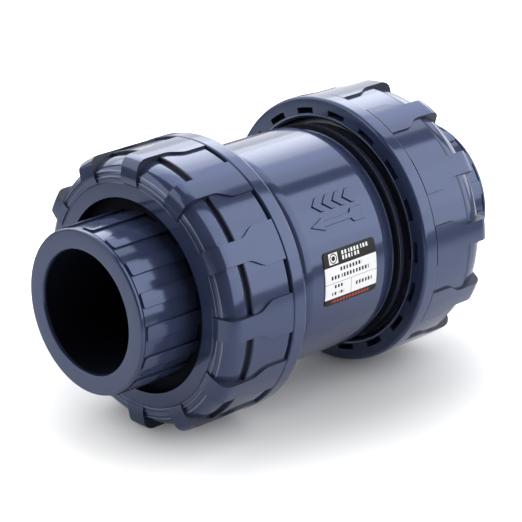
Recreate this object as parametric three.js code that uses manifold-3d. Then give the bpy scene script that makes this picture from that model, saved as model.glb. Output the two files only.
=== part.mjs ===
// True-union ball check valve in PVC-U, for 1 1/4 inch (DN 32) solvent-weld pipe.
// Millimetres. X runs along the flow axis, +X is the inlet, +Z is up.
// The origin is the middle of the valve, on the axis.
import * as THREE from 'three';
import { mergeVertices } from 'three/addons/utils/BufferGeometryUtils.js';
import Module from 'manifold-3d';

const wasm = await Module();
wasm.setup();

// Driving dimensions.
const halfLength = 82.9;           // centre to a socket's end face
const bodyEnd = 47.5;              // centre to the body's end face
const barrelRadius = 39.6;
const barrelHalf = 16.5;           // where the barrel's shoulder begins to round off
const shoulderEnd = 21.6;
const shoulderRadius = 37.2;
const stopCollarRadius = 39.4;
const stopCollarStart = 24.4;
const stopCollarEnd = 25.6;
const bodyThreadRoot = 38.2;
const bodyThreadCrest = 40.0;
const nutThreadRoot = 40.5;
const nutThreadCrest = 38.7;
const threadPitch = 5;
const ridgeFootWidth = 2.9;
const ridgeCrestWidth = 1.1;
const bodyThreadStart = 28.4;      // centre of the first body ridge
const bodyThreadTurns = 3.4;
const nutThreadTurns = 2.8;
const nutThreadEnd = 46.2;

const chamberRadius = 27.5;
const inletBoreRadius = 30.2;
const inletBoreFloor = 23.7;
const outletConeStart = -30;
const outletConeEnd = -42.5;
const waterwayRadius = 16.4;

const ballRadius = 22;
const ballClosedX = 13.35;
const ballTravel = 18;
const guideRadius = 22.4;          // inner edge of the guide ribs
const ribThickness = 3.6;
const ribCount = 4;

const gap = 0.3;                   // between pieces that touch
const insertRadius = inletBoreRadius - gap;
const seatThickness = 3.1;
const seatBore = 17.7;
const supportLength = 9.4;
const insertBore = 18.4;
const supportGrooveHalf = 1.55;
const supportGrooveDepth = 2.6;
const supportRingWire = 1.25;
const keySlotWidth = 5;
const faceRingMean = 33.9;
const faceRingWire = 1.4;
const faceGrooveHalf = 1.85;
const faceGrooveDepth = 2.9;

const nutRear = 28.55;
const nutFront = 62;
const nutRingRadius = 48.3;
const nutRingEnd = 34.55;
const nutGrooveEnd = 35.4;         // a narrow groove in front of the ring
const nutGrooveRadius = 46;
const nutPanelRadius = 47.3;
const nutPanelFront = 52.4;
const nutValleyRadius = 45.8;      // a narrow valley in front of the panels
const nutValleyEnd = 53.1;
const nutNoseStart = 53.6;         // the round front shoulder
const nutNoseRadius = 46.1;
const nutNoseFront = 61.4;
const nutNoseFoot = 42.4;
const nutStepRadius = 40.5;        // a fine step round the flat front face
const nutFaceRadius = 38.6;        // outer edge of the flat front face
const nutHoleRadius = 33.6;
const nutLipInner = 57.3;          // the lip that pulls on the connector's flange
const lugRadius = 48.1;
const lugTopEnd = 57.6;            // the lug's top starts to round off here
const lugFront = 62.6;
const lugFoot = 39.2;
const lugCount = 12;
const lugWide = 6.8;               // half widths of a lug
const lugNarrow = 3.8;
const slotCount = 18;
const inletLugPhase = 23.1;        // degrees from +Z towards -Y
const outletLugPhase = 28.4;
const slotPhase = 5;
const slotInner = 42.3;
const slotOuter = 44.3;
const slotHalfWidth = 3.9;
const slotFloor = 33.4;

const flangeRadius = 37.6;
const flangeEnd = 57;
const hubRadius = 28.3;
const socketRadius = 21.2;
const socketDepth = 31.8;
const padCount = 16;
const padHalfWidth = 2.6;
const padHeight = 0.6;
const padEnd = 80.9;
const padPhase = 1.3;

const markHeight = 0.6;            // raised flow marks
const arrowAngle = 58.4;
const chevronAngle = 48.6;
const chevronCount = 4;
const chevronFirstX = -6;
const chevronPitch = 4.8;
const labelLength = 24.7;
const labelMiddleX = 0.55;
const labelMiddleAngle = 85.5;
const labelSpanAngle = 27.4;
const labelThickness = 0.25;

const wallSegments = 32;
const innerSegments = 24;

const degrees = Math.PI / 180;

// ---- Geometry helpers ----

function toSolid(geometry) {
  geometry.deleteAttribute('normal');
  geometry.deleteAttribute('uv');
  const merged = mergeVertices(geometry, 1e-4);
  const index = merged.index.array;
  const triangles = [];
  for (let i = 0; i < index.length; i += 3) {
    const [a, b, c] = [index[i], index[i + 1], index[i + 2]];
    if (a !== b && b !== c && c !== a) {
      triangles.push(a, b, c);
    }
  }
  return new wasm.Manifold(new wasm.Mesh({
    numProp: 3,
    vertProperties: new Float32Array(merged.attributes.position.array),
    triVerts: new Uint32Array(triangles),
  }));
}

function toGeometry(solid) {
  const mesh = solid.getMesh();
  const geometry = new THREE.BufferGeometry();
  geometry.setAttribute('position', new THREE.BufferAttribute(mesh.vertProperties, 3));
  geometry.setIndex(new THREE.BufferAttribute(mesh.triVerts, 1));
  return geometry;
}

// A closed outline of [x, radius] points, turned about the X axis.
function revolve(outline, segments = wallSegments) {
  let doubleArea = 0;
  outline.forEach(([x, r], i) => {
    const [nextX, nextR] = outline[(i + 1) % outline.length];
    doubleArea += x * nextR - nextX * r;
  });
  const ordered = doubleArea > 0 ? [...outline].reverse() : [...outline];
  ordered.push(ordered[0]);
  const points = ordered.map(([x, r]) => new THREE.Vector2(r, x));
  return new THREE.LatheGeometry(points, segments).rotateZ(-Math.PI / 2);
}

function mirrored(outline) {
  return outline.map(([x, r]) => [-x, r]).reverse();
}

// Points on a quarter of an ellipse, from [x0, r0] running level to [x1, r1] running steeply.
function roundedDrop([x0, r0], [x1, r1], steps) {
  return Array.from({ length: steps + 1 }, (_, i) => {
    const turn = (i / steps) * 0.4 * Math.PI;
    const across = Math.sin(turn) / Math.sin(0.4 * Math.PI);
    const down = (1 - Math.cos(turn)) / (1 - Math.cos(0.4 * Math.PI));
    return [x0 + (x1 - x0) * across, r0 + (r1 - r0) * down];
  });
}

function outlineShape(points) {
  return new THREE.Shape(points.map(([x, y]) => new THREE.Vector2(x, y)));
}

// A flat outline in x and across, raised along +Z between two radii, then turned about X.
function radialPrism(points, innerRadius, outerRadius, angle) {
  const prism = new THREE.ExtrudeGeometry(outlineShape(points), {
    depth: outerRadius - innerRadius,
    bevelEnabled: false,
  });
  return prism.translate(0, 0, innerRadius).rotateX(angle * degrees);
}

// A right-handed thread ridge about X. Its height fades out over a sixteenth of a turn at each end.
function threadRidge(start, turns, footRadius, crestRadius, phase) {
  const height = crestRadius - footRadius;
  const foot = ridgeFootWidth / 2;
  const crest = ridgeCrestWidth / 2;
  const steps = Math.round(turns * wallSegments);
  const ridge = new THREE.ExtrudeGeometry(
    outlineShape([[-foot, 0], [foot, 0], [crest, height], [-crest, height]]),
    { depth: steps, steps, bevelEnabled: false },
  );
  const fade = wallSegments / 16;
  const position = ridge.attributes.position;
  for (let i = 0; i < position.count; i += 1) {
    const step = position.getZ(i);
    const angle = phase * degrees + (step / wallSegments) * 2 * Math.PI;
    const full = Math.min(1, 0.2 + step / fade, 0.2 + (steps - step) / fade);
    const radius = footRadius + position.getY(i) * full;
    const x = start + position.getX(i) + (step / wallSegments) * threadPitch;
    position.setXYZ(i, x, -radius * Math.sin(angle), radius * Math.cos(angle));
  }
  return ridge;
}

// ---- Valve body ----

function threadedEnd() {
  return [
    ...roundedDrop([barrelHalf, barrelRadius], [shoulderEnd, shoulderRadius], 3),
    [stopCollarStart - 0.5, shoulderRadius],
    [stopCollarStart, stopCollarRadius],
    [stopCollarEnd, stopCollarRadius],
    [stopCollarEnd + 0.5, bodyThreadRoot],
    [bodyEnd - 1.1, bodyThreadRoot],
    [bodyEnd, bodyThreadRoot - 1.1],
    [bodyEnd, faceRingMean + faceGrooveHalf],
    [bodyEnd - faceGrooveDepth, faceRingMean + faceGrooveHalf],
    [bodyEnd - faceGrooveDepth, faceRingMean - faceGrooveHalf],
    [bodyEnd, faceRingMean - faceGrooveHalf],
  ];
}

function bodyShell() {
  return toSolid(revolve([
    ...threadedEnd(),
    [bodyEnd, inletBoreRadius],
    [inletBoreFloor, inletBoreRadius],
    [inletBoreFloor, chamberRadius],
    [outletConeStart, chamberRadius],
    [outletConeEnd, waterwayRadius],
    [-bodyEnd, waterwayRadius],
    ...mirrored(threadedEnd()),
  ]));
}

// A rib keeps the ball on the axis and curves in at the outlet end to stop it.
function guideRib(angle) {
  const openX = ballClosedX - ballTravel;
  const stopRadius = guideRadius - 0.1;
  const stopSteps = 4;
  const lastTurn = 48 * degrees;
  const stop = Array.from({ length: stopSteps + 1 }, (_, i) => {
    const turn = (i / stopSteps) * lastTurn;
    return [openX - stopRadius * Math.sin(turn), stopRadius * Math.cos(turn)];
  });
  const outline = outlineShape([
    [inletBoreFloor - 1, chamberRadius + 1],
    [inletBoreFloor - 1, guideRadius],
    ...stop,
    [-28, 15.6],
    [-39, 20.4],
    [outletConeStart, chamberRadius + 1],
  ]);
  const rib = new THREE.ExtrudeGeometry(outline, { depth: ribThickness, bevelEnabled: false });
  rib.translate(0, 0, -ribThickness / 2).rotateX(Math.PI / 2 + angle * degrees);
  return toSolid(rib);
}

// The flow arrow points at the outlet, -X.
function flowArrow() {
  const points = [
    [-13.2, 0], [-7.2, 2.3], [-7.2, 1], [5.2, 1], [6.4, 2.4], [11.6, 2.4],
    [10.2, 0], [11.6, -2.4], [6.4, -2.4], [5.2, -1], [-7.2, -1], [-7.2, -2.3],
  ];
  return toSolid(radialPrism(points, barrelRadius - 1.5, barrelRadius + markHeight, arrowAngle));
}

function flowChevron(x) {
  const points = [[x - 3, 0], [x, 2.7], [x + 1.6, 2.7], [x - 1.4, 0], [x + 1.6, -2.7], [x, -2.7]];
  return toSolid(radialPrism(points, barrelRadius - 1.5, barrelRadius + markHeight, chevronAngle));
}

function valveBody() {
  const inletRidge = threadRidge(
    bodyThreadStart, bodyThreadTurns, bodyThreadRoot - 0.4, bodyThreadCrest, 0,
  );
  const outletRidge = inletRidge.clone().rotateZ(Math.PI);
  let body = bodyShell().add(toSolid(inletRidge)).add(toSolid(outletRidge));
  for (let i = 0; i < ribCount; i += 1) {
    body = body.add(guideRib(45 + (i * 360) / ribCount));
  }
  body = body.add(flowArrow());
  for (let i = 0; i < chevronCount; i += 1) {
    body = body.add(flowChevron(chevronFirstX + i * chevronPitch));
  }
  return toGeometry(body);
}

// ---- Union nut, drawn at the inlet end ----

function nutShell() {
  return toSolid(revolve([
    [nutRear, nutRingRadius - 1.1],
    [nutRear + 1, nutRingRadius],
    [nutRingEnd, nutRingRadius],
    [nutRingEnd, nutGrooveRadius],
    [nutGrooveEnd, nutGrooveRadius],
    [nutGrooveEnd, nutPanelRadius],
    [nutPanelFront, nutPanelRadius],
    [nutPanelFront + 0.1, nutValleyRadius],
    [nutValleyEnd, nutValleyRadius],
    ...roundedDrop([nutNoseStart, nutNoseRadius], [nutNoseFront, nutNoseFoot], 5),
    [nutFront - 0.3, nutStepRadius + 0.9],
    [nutFront - 0.5, nutStepRadius + 0.6],
    [nutFront - 0.1, nutStepRadius],
    [nutFront - 0.1, nutFaceRadius + 0.6],
    [nutFront - 0.4, nutFaceRadius + 0.3],
    [nutFront, nutFaceRadius],
    [nutFront, nutHoleRadius],
    [nutLipInner, nutHoleRadius],
    [nutLipInner, flangeRadius + 0.6],
    [nutThreadEnd + 1, flangeRadius + 0.6],
    [nutThreadEnd, nutThreadRoot],
    [nutRear + 1, nutThreadRoot],
    [nutRear, nutThreadRoot + 1],
  ]));
}

// Half of a lug's outline seen from outside: wide at the ring, narrow towards the front.
function lugFlank() {
  const bend = [0, 0.33, 0.67, 1].map((t) => {
    const ease = t * t * (3 - 2 * t);
    return [43 + 7 * t, lugWide + (lugNarrow - lugWide) * ease];
  });
  return [[nutRingEnd - 0.8, lugWide], ...bend, [lugFront + 2, lugNarrow]];
}

function lugs(phase) {
  const envelope = toSolid(revolve([
    [nutRingEnd - 0.5, 44.4],
    [nutRingEnd - 0.5, lugRadius],
    ...roundedDrop([lugTopEnd, lugRadius], [lugFront - 0.8, nutNoseRadius - 0.5], 3),
    [lugFront, lugFoot + 1.8],
    [lugFront - 0.3, lugFoot],
    [nutFront - 0.6, lugFoot],
    [54, 43.4],
  ]));
  const flank = lugFlank();
  const outline = [...flank, ...flank.map(([x, y]) => [x, -y]).reverse()];
  const prisms = Array.from({ length: lugCount }, (_, i) => toSolid(
    radialPrism(outline, 37, 52, phase + (i * 360) / lugCount),
  ));
  return envelope.intersect(wasm.Manifold.union(prisms));
}

function rearSlots() {
  const outline = [
    [nutRear - 1, slotHalfWidth], [slotFloor, slotHalfWidth],
    [slotFloor, -slotHalfWidth], [nutRear - 1, -slotHalfWidth],
  ];
  return wasm.Manifold.union(Array.from({ length: slotCount }, (_, i) => toSolid(
    radialPrism(outline, slotInner, slotOuter, slotPhase + (i * 360) / slotCount),
  )));
}

function unionNut(lugPhase) {
  const firstRidge = bodyThreadStart + threadPitch / 2;
  const ridge = threadRidge(
    firstRidge, nutThreadTurns, nutThreadRoot + 0.5, nutThreadCrest, 0,
  );
  const shell = nutShell().add(lugs(lugPhase));
  return toGeometry(shell.subtract(rearSlots()).add(toSolid(ridge)));
}

// ---- End connector, drawn at the inlet end ----

function connectorShell() {
  return toSolid(revolve([
    [bodyEnd + gap, flangeRadius - 0.6],
    [bodyEnd + gap + 0.6, flangeRadius],
    [flangeEnd - 0.6, flangeRadius],
    [flangeEnd, flangeRadius - 0.6],
    [flangeEnd, hubRadius + 1.2],
    [flangeEnd + 1.5, hubRadius - 0.2],
    [81.2, hubRadius - 0.2],
    [81.5, hubRadius],
    [halfLength - 0.4, hubRadius],
    [halfLength, hubRadius - 0.4],
    [halfLength, socketRadius + 1],
    [halfLength - 1.2, socketRadius],
    [halfLength - socketDepth, socketRadius - 0.2],
    [halfLength - socketDepth, waterwayRadius],
    [bodyEnd + gap, waterwayRadius],
  ]));
}

function gripPads() {
  const padStart = flangeEnd + 0.5;
  const outline = [
    [padStart, padHalfWidth], [padEnd, padHalfWidth],
    [padEnd, -padHalfWidth], [padStart, -padHalfWidth],
  ];
  return wasm.Manifold.union(Array.from({ length: padCount }, (_, i) => toSolid(
    radialPrism(outline, hubRadius - 1.5, hubRadius + padHeight, padPhase + (i * 360) / padCount),
  )));
}

function endConnector() {
  return toGeometry(connectorShell().add(gripPads()));
}

// ---- Seals, ball and seat ----

function oRing(x, meanRadius, wireRadius) {
  const ring = new THREE.TorusGeometry(meanRadius, wireRadius, 6, innerSegments);
  return ring.rotateY(Math.PI / 2).translate(x, 0, 0);
}

function faceRing() {
  return oRing(bodyEnd - faceGrooveDepth / 2 + gap / 2, faceRingMean, faceRingWire);
}

const seatFront = inletBoreFloor + 0.2;
const seatBack = seatFront + seatThickness;
const supportFront = seatBack + 0.2;
const supportBack = supportFront + supportLength;
const supportRingX = supportFront + supportLength / 2;
const retainerFront = supportBack + 0.2;
const retainerBack = bodyEnd - 0.8;

// The rubber ring that the ball closes on.
function ballSeat() {
  return revolve([
    [seatFront, insertRadius],
    [seatBack, insertRadius],
    [seatBack, seatBore + 0.1],
    [seatBack - 1, seatBore + 0.6],
    [seatFront, seatBore + 2.25],
  ], innerSegments);
}

function seatSupportRing() {
  return revolve([
    [supportFront, insertRadius],
    [supportRingX - supportGrooveHalf, insertRadius],
    [supportRingX - supportGrooveHalf, insertRadius - supportGrooveDepth],
    [supportRingX + supportGrooveHalf, insertRadius - supportGrooveDepth],
    [supportRingX + supportGrooveHalf, insertRadius],
    [supportBack, insertRadius],
    [supportBack, insertBore],
    [supportFront, seatBore],
  ], innerSegments);
}

function supportRingSeal() {
  return oRing(supportRingX, insertRadius - 1.2, supportRingWire);
}

// The threaded ring that clamps the seat, with four slots for a pin spanner.
function seatRetainingRing() {
  const ring = toSolid(revolve([
    [retainerFront, insertRadius - 0.8],
    [retainerFront + 0.8, insertRadius],
    [retainerBack - 0.6, insertRadius],
    [retainerBack, insertRadius - 0.6],
    [retainerBack, insertBore + 2],
    [retainerBack - 3, insertBore],
    [retainerFront, insertBore],
  ], innerSegments));
  const half = keySlotWidth / 2;
  const slotDeep = retainerBack - 3.5;
  const slot = [[slotDeep, half], [bodyEnd, half], [bodyEnd, -half], [slotDeep, -half]];
  const slots = [0, 90, 180, 270].map((angle) => toSolid(radialPrism(slot, 16, 26.5, angle)));
  return toGeometry(ring.subtract(wasm.Manifold.union(slots)));
}

// The identification plate, wrapped round the barrel below the arrow.
function specLabel() {
  const standOff = barrelRadius + 0.1;
  const plate = new THREE.BoxGeometry(labelLength, 1, 1, 1, 8, 1);
  const position = plate.attributes.position;
  for (let i = 0; i < position.count; i += 1) {
    const angle = (labelMiddleAngle - position.getY(i) * labelSpanAngle) * degrees;
    const radius = standOff + (position.getZ(i) + 0.5) * labelThickness;
    const x = position.getX(i) + labelMiddleX;
    position.setXYZ(i, x, -radius * Math.sin(angle), radius * Math.cos(angle));
  }
  return toGeometry(toSolid(plate));
}

// ---- Assembly ----

const colours = {
  pvc: { color: 0x4a5270, roughness: 0.36, metalness: 0 },
  pvcBall: { color: 0x555c74, roughness: 0.3, metalness: 0 },
  rubber: { color: 0x16171a, roughness: 0.75, metalness: 0 },
  label: { color: 0xe9eaec, roughness: 0.4, metalness: 0 },
};

function piece(name, geometry, look) {
  geometry.computeVertexNormals();
  const mesh = new THREE.Mesh(geometry, new THREE.MeshStandardMaterial(colours[look]));
  mesh.name = name;
  return mesh;
}

const valve = new THREE.Group();

valve.add(piece('valve_body', valveBody(), 'pvc'));
valve.add(piece('spec_label', specLabel(), 'label'));

const seatGroup = new THREE.Group();
seatGroup.add(piece('ball_seat', ballSeat(), 'rubber'));
seatGroup.add(piece('seat_support_ring', seatSupportRing(), 'pvc'));
seatGroup.add(piece('support_ring_o_ring', supportRingSeal(), 'rubber'));
seatGroup.add(piece('seat_retaining_ring', seatRetainingRing(), 'pvc'));
valve.add(seatGroup);

const ball = piece('check_ball', new THREE.SphereGeometry(ballRadius, 24, 14), 'pvcBall');
ball.position.x = ballClosedX;
valve.add(ball);

function unionEnd(side, lugPhase) {
  const end = new THREE.Group();
  end.add(piece(`end_connector_${side}`, endConnector(), 'pvc'));
  end.add(piece(`union_nut_${side}`, unionNut(lugPhase), 'pvc'));
  end.add(piece(`face_o_ring_${side}`, faceRing(), 'rubber'));
  return end;
}

const inletEnd = unionEnd('inlet', inletLugPhase);
const outletEnd = unionEnd('outlet', -outletLugPhase);
outletEnd.rotation.z = Math.PI;
valve.add(inletEnd);
valve.add(outletEnd);

export default valve;
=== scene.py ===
# Looks for a true-union ball check valve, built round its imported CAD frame.
import math
from collections import namedtuple

import bmesh
import bpy
from mathutils import Matrix, Vector


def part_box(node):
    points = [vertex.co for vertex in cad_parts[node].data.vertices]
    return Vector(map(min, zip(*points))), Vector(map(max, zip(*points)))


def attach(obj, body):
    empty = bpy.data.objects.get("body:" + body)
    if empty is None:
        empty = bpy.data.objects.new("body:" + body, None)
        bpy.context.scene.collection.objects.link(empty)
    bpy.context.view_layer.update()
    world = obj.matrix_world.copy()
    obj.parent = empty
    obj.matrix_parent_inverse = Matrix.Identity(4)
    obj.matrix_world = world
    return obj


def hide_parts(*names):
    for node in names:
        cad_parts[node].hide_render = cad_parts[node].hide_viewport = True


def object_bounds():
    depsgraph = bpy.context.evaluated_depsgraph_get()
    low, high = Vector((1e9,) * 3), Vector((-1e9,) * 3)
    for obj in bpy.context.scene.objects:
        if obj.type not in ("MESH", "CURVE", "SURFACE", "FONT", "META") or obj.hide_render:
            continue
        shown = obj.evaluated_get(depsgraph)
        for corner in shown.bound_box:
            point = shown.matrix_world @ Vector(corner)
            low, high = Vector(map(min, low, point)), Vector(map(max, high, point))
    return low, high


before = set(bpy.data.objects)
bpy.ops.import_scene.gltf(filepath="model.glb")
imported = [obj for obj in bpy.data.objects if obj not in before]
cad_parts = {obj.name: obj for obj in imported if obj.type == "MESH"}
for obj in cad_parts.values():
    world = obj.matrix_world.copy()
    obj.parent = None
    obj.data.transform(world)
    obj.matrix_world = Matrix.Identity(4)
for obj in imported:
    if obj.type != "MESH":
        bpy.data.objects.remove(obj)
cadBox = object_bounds()
scene = bpy.context.scene
scene.view_settings.view_transform = "Standard"
scene.view_settings.look = "None"
mm = 0.001
circleSteps = 144  # steps round a nut or the body: eight of them to each rear slot and the gap after it
slotSteps = 4
ringSteps = 96  # steps round the ball, the seat parts and the seals
Spot = namedtuple("Spot", "x radius outward sideways")  # where a face is and how it looks, for the finishes, painted shade and painted highlights


def nearX(node):
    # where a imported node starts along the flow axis, in millimetres
    return round(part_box(node)[0][0] / mm, 3)


def farX(node):
    return round(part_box(node)[1][0] / mm, 3)


def outerRadius(node):
    return round(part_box(node)[1][2] / mm, 3)


def turn(bm, points, steps=circleSteps):
    # a closed outline in the XZ half plane, given as (x, radius) in millimetres, spun round the flow axis
    verts = [bm.verts.new((x * mm, 0, r * mm)) for x, r in points]
    edges = [bm.edges.new((a, b)) for a, b in zip(verts, verts[1:] + verts[:1])]
    bmesh.ops.spin(bm, geom=verts + edges, cent=(0, 0, 0), axis=(1, 0, 0), dvec=(0, 0, 0),
                   angle=2 * math.pi, steps=steps, use_merge=True, use_duplicate=False)
    bmesh.ops.remove_doubles(bm, verts=bm.verts, dist=1e-7)
    bmesh.ops.recalc_face_normals(bm, faces=bm.faces)


def rounded(bm, edges, width, segments=2):
    bmesh.ops.bevel(bm, geom=edges, offset=width * mm, offset_type="OFFSET", affect="EDGES",
                    segments=segments, profile=0.5, clamp_overlap=True, material=-1)


def soften(bm, width, segments=2, sharper=28):
    # rounds the crisp edges of everything made so far
    crisp = [e for e in bm.edges
             if len(e.link_faces) == 2 and e.calc_face_angle(0) > math.radians(sharper)]
    rounded(bm, crisp, width, segments)


def pull(bm, faces):
    # extrudes faces and hands back the new vertices, still to be moved
    made = bmesh.ops.extrude_face_region(bm, geom=faces)
    return [g for g in made["geom"] if isinstance(g, bmesh.types.BMVert)]


def sink(bm, faces, along):
    # moves faces along the flow axis and leaves walls behind them
    bmesh.ops.translate(bm, verts=pull(bm, faces), vec=(along * mm, 0, 0))
    bmesh.ops.delete(bm, geom=faces, context="FACES")


def turnTo(bm, angle):
    # turns everything round the flow axis, in degrees
    bmesh.ops.rotate(bm, verts=bm.verts, cent=(0, 0, 0), matrix=Matrix.Rotation(math.radians(angle), 3, "X"))


def arc(centre, radius, start, end, steps):
    # points of an arc in (x, radius) space, angles in degrees from +x towards +radius
    return [(centre[0] + radius * math.cos(math.radians(start + (end - start) * i / steps)),
             centre[1] + radius * math.sin(math.radians(start + (end - start) * i / steps)))
            for i in range(steps + 1)]


def blendCurve(start, end, steps, fullness):
    # a rounded shoulder that starts level at start and ends steep at end; fullness 1 ends upright
    points = []
    for i in range(steps + 1):
        turnBy = i / steps * fullness * math.pi / 2
        across = math.sin(turnBy) / math.sin(fullness * math.pi / 2)
        down = (1 - math.cos(turnBy)) / (1 - math.cos(fullness * math.pi / 2))
        points.append((start[0] + (end[0] - start[0]) * across, start[1] + (end[1] - start[1]) * down))
    return points


def join(target, part):
    # copies the faces of one bmesh into another
    mesh = bpy.data.meshes.new("part")
    part.to_mesh(mesh)
    part.free()
    target.from_mesh(mesh)
    bpy.data.meshes.remove(mesh)


def finishPiece(name, bm, material, body, nodes, moves=None, finishesAndPaintedShading=()):
    # the (material, test) pairs: finishes, painted shade and painted highlights; a face takes the first one
    # whose test holds for its Spot
    if moves:
        bmesh.ops.transform(bm, matrix=moves, verts=bm.verts)
    mesh = bpy.data.meshes.new(name)
    bm.to_mesh(mesh)
    bm.free()
    places = {}
    for each in (material, *(finish for finish, test in finishesAndPaintedShading)):
        if each.name not in places:
            places[each.name] = len(places)
            mesh.materials.append(each)
    for polygon in mesh.polygons:
        polygon.use_smooth = True
        x, y, z = polygon.center / mm
        radius = math.hypot(y, z)
        outward = (polygon.normal.y * y + polygon.normal.z * z) / max(radius, 0.01)
        sideways = math.sqrt(max(0, 1 - outward ** 2 - polygon.normal.x ** 2))
        spot = Spot(abs(x), radius, outward, sideways)
        for finish, test in finishesAndPaintedShading:
            if test(spot):
                polygon.material_index = places[finish.name]
                break
    mesh.set_sharp_from_angle(angle=math.radians(52))
    piece = bpy.data.objects.new(name, mesh)
    scene.collection.objects.link(piece)
    weigh = piece.modifiers.new("weigh", "WEIGHTED_NORMAL")
    weigh.keep_sharp = True
    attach(piece, body)
    if nodes:
        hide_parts(*nodes)


def threadRidge(start, turns, root, crest, footWidth, crestWidth, pitch, steps=72):
    # a right-handed ridge: a small trapezium swept round the axis while it moves along
    bm = bmesh.new()
    foot, top = footWidth / 2, crestWidth / 2
    outline = [(start - foot, root), (start + foot, root), (start + top, crest), (start - top, crest)]
    face = bm.faces.new([bm.verts.new((x * mm, 0, r * mm)) for x, r in outline])
    bmesh.ops.spin(bm, geom=[face], cent=(0, 0, 0), axis=(1, 0, 0), dvec=(pitch * mm / steps, 0, 0),
                   angle=turns * 2 * math.pi, steps=round(turns * steps), use_merge=False,
                   use_duplicate=False)
    # both ends run out: their last stretch sinks back to the root
    fade = 0.06
    for v in bm.verts:
        along = (v.co.x / mm - start) / pitch / turns
        ramp = min(1, max(0, 0.1 + along / fade), max(0, 0.1 + (1 - along) / fade))
        radius = math.hypot(v.co.y, v.co.z)
        wanted = root * mm + (radius - root * mm) * ramp
        v.co.y *= wanted / radius
        v.co.z *= wanted / radius
    bmesh.ops.recalc_face_normals(bm, faces=bm.faces)
    soften(bm, 0.2, 2, 40)
    return bm


def roundedBox(middleX, middleY, halfX, halfY, corner):
    points = []
    for right, up, start in ((1, 1, 0), (-1, 1, 90), (-1, -1, 180), (1, -1, 270)):
        points += arc((middleX + right * (halfX - corner), middleY + up * (halfY - corner)), corner,
                      start, start + 90, 4)
    return points


def relief(points, radius, foot, height, bevel, angle, cuts):
    # a raised outline on a cylinder: drawn flat in x (along) and y (round), thickened, its top edge rounded,
    # cut into strips, then wrapped round the flow axis
    bm = bmesh.new()
    face = bm.faces.new([bm.verts.new((x * mm, y * mm, height * mm)) for x, y in points])
    bmesh.ops.translate(bm, verts=pull(bm, [face]), vec=(0, 0, -(height + foot) * mm))
    bmesh.ops.recalc_face_normals(bm, faces=bm.faces)
    rounded(bm, [e for e in bm.edges if all(v.co.z > 0 for v in e.verts)], bevel)
    low = min(v.co.y for v in bm.verts)
    high = max(v.co.y for v in bm.verts)
    count = int((high - low) / (cuts * mm))
    for i in range(1, count):
        bmesh.ops.bisect_plane(bm, geom=bm.verts[:] + bm.edges[:] + bm.faces[:],
                               plane_co=(0, low + (high - low) * i / count, 0), plane_no=(0, 1, 0), dist=1e-7)
    for v in bm.verts:
        around = v.co.y / (radius * mm)
        r = radius * mm + v.co.z
        v.co = Vector((v.co.x, -r * math.sin(around), r * math.cos(around)))
    turnTo(bm, angle)
    bmesh.ops.recalc_face_normals(bm, faces=bm.faces)
    return bm


# node helpers and the plastics

def newGroup(name, inputs, outputs):
    group = bpy.data.node_groups.new(name, "ShaderNodeTree")
    for label, kind, value in inputs:
        socket = group.interface.new_socket(name=label, in_out="INPUT", socket_type=kind)
        socket.default_value = value
    for label, kind in outputs:
        group.interface.new_socket(name=label, in_out="OUTPUT", socket_type=kind)
    return group, group.nodes.new("NodeGroupInput"), group.nodes.new("NodeGroupOutput")


def mathNode(nodes, operation, **values):
    # values: the numbers that stay fixed, as first, second and third
    node = nodes.new("ShaderNodeMath")
    node.operation = operation
    for place, value in values.items():
        node.inputs[("first", "second", "third").index(place)].default_value = value
    return node


def newMaterial(name):
    material = bpy.data.materials.new(name)
    material.use_nodes = True
    nodes = material.node_tree.nodes
    return material, nodes, material.node_tree.links.new, nodes["Principled BSDF"]


def mouldedSkin():
    # moulded plastic: faint cloudy colour, a fine skin texture and uneven gloss
    group, inside, out = newGroup(
        "mouldedSkin",
        [("Colour", "NodeSocketColor", (0.1, 0.12, 0.2, 1)), ("Cloud Scale", "NodeSocketFloat", 40),
         ("Cloud Amount", "NodeSocketFloat", 0.12), ("Gloss", "NodeSocketFloat", 0.3),
         ("Gloss Spread", "NodeSocketFloat", 0.06), ("Skin Scale", "NodeSocketFloat", 900),
         ("Skin Height", "NodeSocketFloat", 0.05)],
        [("Colour", "NodeSocketColor"), ("Roughness", "NodeSocketFloat"), ("Normal", "NodeSocketVector")])
    nodes, link = group.nodes, group.links.new
    place = nodes.new("ShaderNodeTexCoord")
    cloud = nodes.new("ShaderNodeTexNoise")
    cloud.inputs["Detail"].default_value = 3
    link(place.outputs["Object"], cloud.inputs["Vector"])
    link(inside.outputs["Cloud Scale"], cloud.inputs["Scale"])
    centred = mathNode(nodes, "SUBTRACT", second=0.5)
    link(cloud.outputs["Fac"], centred.inputs[0])
    amount = mathNode(nodes, "MULTIPLY_ADD", third=1)
    link(centred.outputs[0], amount.inputs[0])
    link(inside.outputs["Cloud Amount"], amount.inputs[1])
    shade = nodes.new("ShaderNodeHueSaturation")
    link(inside.outputs["Colour"], shade.inputs["Color"])
    link(amount.outputs[0], shade.inputs["Value"])
    link(shade.outputs["Color"], out.inputs["Colour"])
    smear = nodes.new("ShaderNodeTexNoise")
    smear.inputs["Scale"].default_value = 90
    smear.inputs["Detail"].default_value = 2
    link(place.outputs["Object"], smear.inputs["Vector"])
    spread = mathNode(nodes, "MULTIPLY_ADD")
    link(smear.outputs["Fac"], spread.inputs[0])
    link(inside.outputs["Gloss Spread"], spread.inputs[1])
    link(inside.outputs["Gloss"], spread.inputs[2])
    link(spread.outputs[0], out.inputs["Roughness"])
    skin = nodes.new("ShaderNodeTexNoise")
    skin.inputs["Detail"].default_value = 2
    link(place.outputs["Object"], skin.inputs["Vector"])
    link(inside.outputs["Skin Scale"], skin.inputs["Scale"])
    bump = nodes.new("ShaderNodeBump")
    bump.inputs["Distance"].default_value = 0.0001
    link(inside.outputs["Skin Height"], bump.inputs["Strength"])
    link(skin.outputs["Fac"], bump.inputs["Height"])
    link(bump.outputs["Normal"], out.inputs["Normal"])
    return group


skinGroup = mouldedSkin()


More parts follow.
